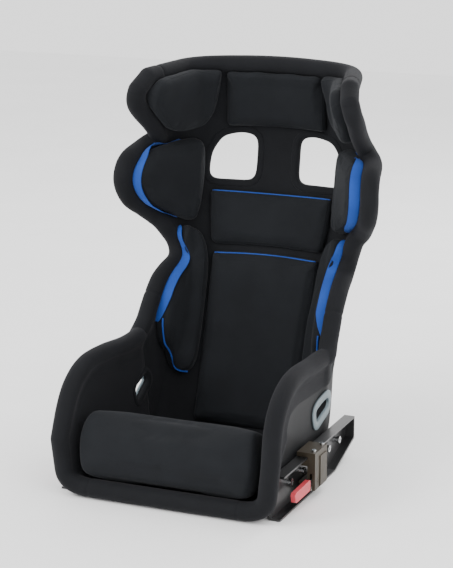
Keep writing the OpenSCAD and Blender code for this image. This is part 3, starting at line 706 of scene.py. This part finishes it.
spans = {
    "lip_cover": (lambda s, u: s < 0.02 and abs(u) <= LIP_END, ["lip_roll"]),
    "crown_cover": (lambda s, u: s > LAST - 0.02 and abs(u) <= CROWN_END, ["crown_roll"])}
for sign, hand in ((-1, "left"), (1, "right")):
    spans["thigh_cover_" + hand] = (
        lambda s, u, g=sign: u * g > 0 and s <= ELBOW and not (s < 0.02 and abs(u) <= LIP_END),
        ["thigh_roll_" + hand])
    spans["wing_cover_" + hand] = (
        lambda s, u, g=sign: u * g > 0 and s > ELBOW
        and not (s > LAST - 0.02 and abs(u) <= CROWN_END),
        ["wing_roll_" + hand, "outer_skirt_" + hand])
for name, (inside, nodes) in spans.items():
    finish_piece(rim_span(name, inside), "seat", FABRIC, "trim_fabric", nodes)

# ------------------------------------------------------------------ pads

PAD_LOW = 9.4 * MM
FLAT_TOP, BOLSTER_TOP = 29 * MM, 41 * MM
CROWN_SPREAD = 30 * MM        # distance from the edge over which a pad's crown rises
CLOTH_FRAMES = 20
rim_points = KDTree(len(RIM) * 4)
for i, q in enumerate(resample(RIM, RIM_FINE, closed=True)[:len(RIM) * 4]):
    rim_points.insert(Vector(q), i)
rim_points.balance()


def resting(s, a):
    """Least heights over the surface at which a pad clears the padded roll."""
    out = []
    for w in np.atleast_1d(a):
        p, n = point(s, w)[0], normal(s, w)[0]
        d = PAD_LOW
        while d < BOLSTER_TOP - 8 * MM and rim_points.find(Vector(p + n * d))[2] < ROLL_R:
            d += 0.5 * MM
        out.append(d)
    return np.array(out)


def station_length(a=0.2):
    """Stations, and the distance along the seat to each, measured at a from the centre."""
    rows = np.arange(0, LAST + 0.01, 0.25)
    p = np.array([point(s, a)[0] for s in rows])
    return rows, np.r_[0, np.cumsum(np.linalg.norm(np.diff(p, axis=0), axis=1))]


RUN_S, RUN = station_length()


def pad_rows(rows, corner, step=5 * MM):
    """Closely spaced stations, inner and outer edges with rounded corners, and distances
    along the seat, from rows of (station, inner mm, outer mm)."""
    rows = np.array(rows, float)
    rows[:, 1:] *= MM
    run = np.interp(rows[:, 0], RUN_S, RUN)
    n = int((run[-1] - run[0]) / step)
    t = (1 - np.cos(np.linspace(0, math.pi, n))) / 2
    at = run[0] + (run[-1] - run[0]) * (0.6 * t + 0.4 * np.linspace(0, 1, n))
    inner, outer = (smoothed(np.interp(at, run, rows[:, k]), 4) for k in (1, 2))
    near = np.minimum(at - at[0], at[-1] - at)
    inset = corner - np.sqrt(corner**2 - np.maximum(corner - near, 0)**2)
    inset = np.minimum(inset, 0.49 * (outer - inner))
    return np.interp(at, RUN, RUN_S), inner + inset, outer - inset, at


def pad_solid(name, rows, top, corner, edges=(10, 10), crown=4, cells=34):
    """Foam pad: rounded shoulders, gently crowned, closed underneath, with its outline.
    edges are the radii of its inner and outer shoulders, in millimetres."""
    ss, inner, outer, at = pad_rows(rows, corner)
    t = (1 - np.cos(np.linspace(0, math.pi, cells + 1))) / 2
    a = inner[:, None] + (outer - inner)[:, None] * t
    where = np.stack([np.broadcast_to(at[:, None], a.shape), a], -1)
    rim_in = np.stack([at, inner], 1)
    rim_out = np.stack([at, outer], 1)

    def distance(line):
        line = resample(line, 2 * MM)
        gap = where[:, :, None] - line[None, None]
        return np.sqrt((gap**2).sum(-1)).min(-1)

    ends = [resample(np.array([[at[k], inner[k]], [at[k], outer[k]]]), 2 * MM) for k in (0, -1)]
    d_in = np.minimum(distance(rim_in), np.minimum(distance(ends[0]), distance(ends[1])))
    d_out = distance(rim_out)

    def shoulder(d, r):
        x = 1 - np.clip(d / (r * MM), 0, 1)
        return np.sqrt(1 - x**2.4)

    d_all = np.minimum(d_in, d_out)
    rise = np.minimum(shoulder(d_in, edges[0]), shoulder(d_out, edges[1]))
    low = smoothed(np.array([resting(s, a[i]) for i, s in enumerate(ss)]), 2)
    height = low + (top - low) * rise + crown * MM * (1 - np.exp(-d_all / CROWN_SPREAD))
    base = np.array([point(s, a[i]) for i, s in enumerate(ss)])
    up = unit(smoothed([normal(s, a[i]) for i, s in enumerate(ss)], 30))
    pad = slab(name, base + up * height[:, :, None], base + up * low[:, :, None])
    return pad, np.vstack([rim_out, rim_in[::-1]])


def stuffed(pad, voxel=4.5 * MM, pressure=4.0, cap=6 * MM):
    """Swells a pad by cloth simulation, keeps each point within cap, and smooths it."""
    remesh = pad.modifiers.new("remesh", "REMESH")
    remesh.mode, remesh.voxel_size = "VOXEL", voxel
    apply_modifiers(pad)
    relax = pad.modifiers.new("relax", "SMOOTH")
    relax.factor, relax.iterations = 0.5, 3
    apply_modifiers(pad)
    n = len(pad.data.vertices)
    start = np.zeros(n * 3)
    pad.data.vertices.foreach_get("co", start)
    start = start.reshape(-1, 3)
    held = pad.vertex_groups.new(name="held")
    tops = np.array([TOP_TREE.find_nearest(Vector(p))[3] for p in start])
    held.add([int(i) for i in np.nonzero(tops < 4 * MM)[0]], 1.0, "REPLACE")
    cloth = pad.modifiers.new("cloth", "CLOTH")
    cloth.settings.use_pressure = True
    cloth.settings.uniform_pressure_force = pressure
    cloth.settings.vertex_group_mass = "held"
    cloth.settings.effector_weights.gravity = 0
    cloth.point_cache.frame_start, cloth.point_cache.frame_end = 1, CLOTH_FRAMES
    for f in range(1, CLOTH_FRAMES + 1):
        bpy.context.scene.frame_set(f)
    deps = bpy.context.evaluated_depsgraph_get()
    swollen = pad.evaluated_get(deps).data
    end = np.zeros(n * 3)
    swollen.vertices.foreach_get("co", end)
    move = end.reshape(-1, 3) - start
    size = np.linalg.norm(move, axis=1, keepdims=True)
    move *= np.minimum(1, cap / np.maximum(size, 1e-9))
    pad.modifiers.clear()
    pad.vertex_groups.clear()
    pad.data.vertices.foreach_set("co", (start + move).ravel())
    bpy.context.scene.frame_set(1)
    relax = pad.modifiers.new("relax", "SMOOTH")
    relax.factor, relax.iterations = 0.5, 2
    fine = pad.modifiers.new("fine", "SUBSURF")
    fine.levels = fine.render_levels = 1
    apply_modifiers(pad)
    return pad


def tree_of(obj):
    return BVHTree.FromPolygons([v.co for v in obj.data.vertices],
                                [p.vertices[:] for p in obj.data.polygons])


def touch(tree, s, a):
    """Point and normal where a ray down to the seat's surface meets a piece, or None."""
    p, n = point(s, a)[0], normal(s, a)[0]
    hit = tree.ray_cast(Vector(p + n * RAY), Vector(-n), RAY)
    return None if hit[0] is None else (np.array(hit[0]), np.array(hit[1]))


def welt(name, pad, outline, inset, radius, sink=0.4):
    """Raised seam that follows a pad's outline, inset from it, on the pad's own surface."""
    flat = resample(outline, 3 * MM, closed=True)
    flat = smoothed(flat, 8, closed=True)
    t = tangents(flat, closed=True)
    inward = np.stack([-t[:, 1], t[:, 0]], 1)
    x, y = flat.T
    if np.sum(x * np.roll(y, -1) - y * np.roll(x, -1)) < 0:
        inward = -inward
    flat = flat + inward * inset
    tree = tree_of(pad)
    hits = [touch(tree, float(np.interp(run, RUN, RUN_S)), a) for run, a in flat]
    path, ups = zip(*[hit for hit in hits if hit])
    path = smoothed(np.array(path), 3, closed=True)
    ups = unit(smoothed(np.array(ups), 6, closed=True))
    return cord_along(name, path - ups * radius * sink, ups, radius, closed=True)


HEAD = [[25.0, 196, 262], [25.4, 178, 318], [26, 162, 350], [27, 149, 372], [28, 142, 380],
        [29, 136, 380], [30, 131, 372], [30.8, 127, 350]]
SHOULDER = [[16.9, 192, 236], [17.4, 182, 266], [18, 177, 311], [19, 175, 360], [20, 175, 388],
            [21, 176, 394], [22, 178, 376], [22.8, 184, 330], [23.6, 202, 260]]
TORSO = [[9.0, 352, 396], [9.8, 292, 396], [10.3, 232, 391], [10.7, 156, 381],
         [11.2, 138, 363], [12, 136, 326], [13, 136, 274], [14, 137, 243], [15, 139, 236],
         [15.8, 150, 234], [16.5, 172, 230]]
PAD_RIM_GAP = 8               # least distance of a bolster's outer edge from the rim line


def within_rim(rows):
    """The rows with their outer edges kept clear of the rim line."""
    return [[s, lo, min(hi, half_width(s) / MM - PAD_RIM_GAP)] for s, lo, hi in rows]


HEAD, SHOULDER, TORSO = within_rim(HEAD), within_rim(SHOULDER), within_rim(TORSO)
BOLSTERS = {"head": (HEAD, 9, (9, 7)), "shoulder": (SHOULDER, 16, (9, 4)),
            "torso": (TORSO, 12, (9, 4))}
SIDE_ROOM = 5.5               # how far a bolster's foam starts inside its outer edge, in mm
for part, (rows, corner, edges) in BOLSTERS.items():
    foam = [[s, lo, hi - SIDE_ROOM] for s, lo, hi in rows]
    pad, outline = pad_solid(f"{part}_pad_right", foam, BOLSTER_TOP, corner * MM, edges)
    stuffed(pad, cap=2.5 * MM)
    seam = welt(f"{part}_welt_right", pad, outline, 6.5 * MM, 1.1 * MM)
    for piece, material in ((pad, PAD_FABRIC), (seam, PAD_FABRIC)):
        other = mirrored(piece, piece.name.replace("right", "left"))
        is_pad = piece is pad
        for o, hand in ((piece, "right"), (other, "left")):
            finish_piece(o, "seat", material, "pad_fabric",
                         [f"{part}_bolster_{hand}"] if is_pad else [])


PIPING_DROP = 0.12            # stations from a pad's top edge down to its piping
PIPING_END = 7                # where the piping stops short of the pad's sides, in mm


def spread(rows):
    """Rows of a pad that lies evenly on both sides of the centre line."""
    return [[s, -h, h] for s, h in rows]


FLAT_PADS = {
    "upper_back_pad": ([(15.9, 139), (17, 148), (18, 152), (19.1, 156)], 12, True),
    "lumbar_pad": ([(8.7, 123), (10.5, 128), (12, 131), (13.5, 132), (15.6, 133)], 12, True),
    "head_pad_center": ([(24.7, 124), (26, 124), (28, 124), (29.2, 122), (30.75, 117)], 12,
                        False),
    "seat_base_pad": ([(3, 150), (4, 154), (5, 154), (6, 154), (7, 148), (7.3, 142)], 14, False)}
for node_name, (rows, corner, piped) in FLAT_PADS.items():
    pad, outline = pad_solid(node_name + "_foam", spread(rows), FLAT_TOP - 2 * MM,
                             corner * MM, (9, 9), crown=3, cells=60)
    stuffed(pad, cap=4 * MM)
    if node_name == "seat_base_pad":
        cutter = crotch_cutter(2 * MM)
        cut(pad, [cutter])
        drop([cutter])
    finish_piece(pad, "seat", PAD_FABRIC, "pad_fabric", [node_name])
    if node_name != "seat_base_pad":
        seam = welt(node_name + "_welt", pad, outline, 6 * MM, 1.0 * MM)
        finish_piece(seam, "seat", PAD_FABRIC, "pad_fabric")
    if piped:
        s_top, width = rows[-1]
        tree = tree_of(pad)
        path, ups = zip(*[touch(tree, s_top - PIPING_DROP, a)
                          for a in np.linspace(PIPING_END - width, width - PIPING_END, 90) * MM])
        path, ups = smoothed(np.array(path), 4), unit(smoothed(np.array(ups), 6))
        line = cord_along(node_name + "_piping", path, ups, 1.7 * MM)
        finish_piece(line, "seat", BLUE, "blue_fabric")


BAND_TAPER = 0.16             # share of a band's length over which each end narrows


def gusset(name, rows, reach, passes, limits):
    """Coloured side band from the bolster's outer seam down to the cover, between the
    stations in limits. Its foot stands out by reach mm; passes smooths its directions."""
    ss, _, outer, at = pad_rows(rows, 12 * MM, 6 * MM)
    keep = (ss > limits[0]) & (ss < limits[1])
    ss, outer, at = ss[keep], outer[keep], at[keep]
    share = (at - at[0]) / (at[-1] - at[0])
    ease = np.clip(np.minimum(share, 1 - share) / BAND_TAPER, 0, 1)**0.6
    outer = smoothed(outer, 12)
    foot = reach * MM * ease + 1.2 * MM
    low, under = (smoothed([resting(s, min(a + f, half_width(s)))[0]
                            for s, a, f in zip(ss, outer, extra)], 12)
                  for extra in (foot, 0 * foot))
    rings = []
    for s, a, e, f, lo, un in zip(ss, outer, ease, foot, low - 0.5 * MM, under):
        high = lo + (BOLSTER_TOP + 0.5 * MM - lo) * (0.25 + 0.75 * e)
        profile = [(a + f, lo)]
        for t in np.linspace(0.1, 0.9, 6):
            bulge = 2.0 * MM * e * math.sin(math.pi * t)
            profile.append((a + f * (1 - t) + bulge * 0.7, lo + (high - lo) * t + bulge))
        profile += [(a + 0.4 * MM, high), (a - 1.5 * MM, high - 1.2 * MM),
                    (a + 0.1 * MM, min(un, lo) + 4 * MM), (a + 0.1 * MM, min(un, lo))]
        rings.append(profile)
    m = [min(a, half_width(s) - 1 * MM) for s, a in zip(ss, outer)]
    base = smoothed([point(s, b)[0] for s, b in zip(ss, m)], 6)
    side = unit(smoothed([point(s, b)[0] - point(s, b - 4 * MM)[0]
                          for s, b in zip(ss, m)], passes))
    up = unit(smoothed([normal(s, b)[0] for s, b in zip(ss, m)], passes))
    rings = [[p + o * (a - b) + n * d for a, d in profile]
             for p, o, n, b, profile in zip(base, side, up, m, rings)]
    return sweep(name, np.array(rings), False)


for part, rows, reach, passes, limits in (("shoulder", SHOULDER, 5.2, 0, (16.9, 23.6)),
                                          ("torso", TORSO, 7.5, 60, (9.1, 16.4))):
    band = gusset(f"{part}_band_right", rows, reach, passes, limits)
    other = mirrored(band, f"{part}_band_left")
    for o, hand in ((band, "right"), (other, "left")):
        finish_piece(o, "seat", BLUE, "blue_fabric", [f"{part}_gusset_{hand}"])

EDGE_TOP = 10.8               # station where the coloured lower edge ends
EDGE_HEIGHT = 30 * MM


def lower_edge(name):
    """Thin coloured edge under the torso pad, from the rim down to the back."""
    ss, inner, outer, _ = pad_rows(TORSO, 12 * MM, 3 * MM)
    ring = [(ss[k], outer[k] + 1 * MM) for k in range(8, -1, -1)]
    ring += [(s, a - 1 * MM) for s, a in zip(ss, inner) if s < EDGE_TOP]
    ups = [normal(s, a)[0] for s, a in ring]
    path = [lifted(s, a, EDGE_HEIGHT)[0] for s, a in ring]
    path, ups = smoothed(path, 12), unit(smoothed(ups, 12))
    return cord_along(name, path, ups, 2.0 * MM)


edge = lower_edge("torso_edge_right")
for o in (edge, mirrored(edge, "torso_edge_left")):
    finish_piece(o, "seat", BLUE, "blue_fabric")

# ------------------------------------------------------------------ thigh cushion

CUSHION_FACE = [(-318, 47, 190), (-320, 70, 196), (-306, 130, 200), (-286, 166, 198),
                (-262, 178, 192), (-200, 150, 190), (-150, 110, 186), (-110, 60, 180)]
CUSHION_BASE = [(-296, 40), (-280, 38), (-262, 38), (-240, 38), (-220, 38), (-190, 38),
                (-150, 38), (-112, 38)]


def thigh_cushion():
    """Wedge across the front of the seat, from its face and its base seen from the side."""
    face = MM * np.array(CUSHION_FACE, float)
    base = MM * np.array(CUSHION_BASE, float)
    face[:, 0] -= MID_Y
    base[:, 0] -= MID_Y
    run = np.r_[0, np.cumsum(np.linalg.norm(np.diff(face[:, :2], axis=0), axis=1))]
    at = np.linspace(0, run[-1], 60)
    y, z, w = (smoothed(np.interp(at, run, face[:, k]), 10) for k in range(3))
    by, bz = (smoothed(np.interp(at, run, base[:, k]), 10) for k in range(2))
    near = np.minimum(at, at[-1] - at)
    corner = 26 * MM
    w = w - (corner - np.sqrt(corner**2 - np.maximum(corner - near, 0)**2))
    t = -np.cos(np.linspace(0, math.pi, 61))
    top, bottom = [], []
    for k in range(len(at)):
        x = w[k] * t
        d = np.minimum(w[k] - np.abs(x), near[k])
        rise = np.sqrt(1 - (1 - np.clip(d / (16 * MM), 0, 1))**2.2)
        f = np.stack([x, np.full(61, y[k]), np.full(61, z[k])], 1)
        b = np.stack([x * 0.95, np.full(61, by[k]), np.full(61, bz[k])], 1)
        deep = unit(b - f) * np.minimum(30 * MM, np.linalg.norm(b - f, axis=1))[:, None]
        top.append(f + deep * (1 - rise)[:, None])
        bottom.append(b)
    return slab("thigh_cushion_foam", np.array(top), np.array(bottom))


cushion = thigh_cushion()
stuffed(cushion, voxel=5.5 * MM, pressure=3.0, cap=6 * MM)
finish_piece(cushion, "seat", PAD_FABRIC, "pad_fabric", ["thigh_cushion"])

# ------------------------------------------------------------------ slot edges


def slot_path(outline, plane, side, start, direction):
    """Where a slot's outline meets the seat's surface, with surface normals."""
    flat = outline * np.array([side, 1]) if plane == "xz" else outline
    pts = in_space(flat, plane, start * (side if plane == "yz" else 1))
    aim = Vector(direction) * (side if plane == "yz" else 1)
    path, ups = [], []
    for p in resample(pts, 3 * MM, closed=True):
        hit = MID_TREE.ray_cast(Vector(p), aim)
        path.append(np.array(hit[0]))
        ups.append(np.array(hit[1]))
    path = smoothed(np.array(path), 10 if plane == "yz" else 30, closed=True)
    ups = unit(smoothed(np.array(ups), 30, closed=True))
    if np.mean(np.sum(ups * np.array(aim), 1)) > 0:
        ups = -ups
    return path, ups


def ring_piece(name, path, ups, profile):
    """Sweeps a closed profile of (outward, up) points, in millimetres, round a slot."""
    t = tangents(path, closed=True)
    out = unit(np.cross(t, ups))
    if np.mean(np.sum(out * (path - path.mean(0)), 1)) < 0:
        out = -out
    rings = [[p + o * x * MM + n * y * MM for x, y in profile]
             for p, o, n in zip(path, out, ups)]
    return sweep(name, np.array(rings), True)


SLEEVE = [(15, 9.2), (14.2, 10.3), (9, 11.0), (4, 10.8), (0.6, 9.2), (-1.6, 6), (-2.2, 2),
          (-2.0, -2), (-0.8, -5.6), (2.5, -8.0), (7, -8.4), (10.5, -7.6), (11.4, -5.9),
          (6, -5.4), (0.9, -5.3), (-0.5, -3), (-0.5, 3), (0.8, 7), (4, 9.2)]
LAP_LINING = [(14, 9.2), (13, 10.2), (8, 10.8), (4, 10.6), (1.2, 9.4), (-0.6, 6), (-0.8, 0),
              (-0.8, -4.6), (0.2, -4.6), (0.4, 3), (1.4, 7.4), (4, 9.2)]
LAP_TRIM = [(-3.4, -3), (-3.4, -8.2), (-2.6, -9.4), (12.6, -9.6), (14.0, -8.8), (14.2, -5.4),
            (-1.2, -5.4), (-1.2, -3)]
for side, hand in ((-1, "left"), (1, "right")):
    path, ups = slot_path(rounded(SHOULDER_SLOT, 0, SHOULDER_CORNER), "xz", side, 0.0, (0, 1, 0))
    sleeve = ring_piece(f"shoulder_slot_edge_{hand}", path, ups, SLEEVE)
    finish_piece(sleeve, "seat", FABRIC, "trim_fabric")
    path, ups = slot_path(rounded(LAP_SLOT, 0, LAP_CORNER), "yz", side, 0.1, (1, 0, 0))
    lining = ring_piece(f"lap_slot_edge_{hand}", path, ups, LAP_LINING)
    finish_piece(lining, "seat", FABRIC, "trim_fabric")
    trim = ring_piece(f"lap_slot_trim_{hand}", path, ups, LAP_TRIM)
    finish_piece(trim, "seat", BEZEL, "grey_plastic", [f"lap_slot_bezel_{hand}"])

# ------------------------------------------------------------------ camera, floor and light

FLOOR_Z = cad_box[0][2] - 0.4 * MM
floor = new_object("floor", [(-6, -6, FLOOR_Z), (6, -6, FLOOR_Z), (6, 6, FLOOR_Z),
                             (-6, 6, FLOOR_Z)], [(0, 1, 2, 3)], smooth=False)
pale = Nodes("pale_floor")
pale.put(Base_Color=pale.ramp(pale.noise(3), [(0.3, (0.9, 0.9, 0.9)), (0.7, (0.93, 0.93, 0.93))]),
         Roughness=0.9)
floor.data.materials.append(pale.material)

camera = bpy.data.objects.new("camera", bpy.data.cameras.new("camera"))
bpy.context.scene.collection.objects.link(camera)
camera.location = (1.55047, -3.63827, 1.40956)
target = Vector((0, 0.0144, 0.3981))
camera.rotation_mode = "QUATERNION"
camera.rotation_quaternion = (target - camera.location).to_track_quat("-Z", "Y")
camera.data.lens = 120.4
camera.data.clip_end = 50
bpy.context.scene.camera = camera

world = bpy.data.worlds.new("studio")
world.use_nodes = True
world.node_tree.nodes["Background"].inputs["Color"].default_value = (1, 1, 1, 1)
world.node_tree.nodes["Background"].inputs["Strength"].default_value = 1.75
bpy.context.scene.world = world


def soft_light(name, place, power, size):
    """Square lamp aimed at the middle of the seat."""
    light = bpy.data.lights.new(name, "AREA")
    light.energy, light.size = power, size
    obj = bpy.data.objects.new(name, light)
    bpy.context.scene.collection.objects.link(obj)
    obj.location = place
    obj.rotation_mode = "QUATERNION"
    obj.rotation_quaternion = (Vector((0, 0, 0.45)) - obj.location).to_track_quat("-Z", "Y")


soft_light("key", (-2.4, -2.6, 3.0), 110, 1.8)
soft_light("fill", (2.8, -2.0, 1.8), 45, 2.2)
soft_light("rim", (0.6, 2.8, 2.6), 60, 1.6)
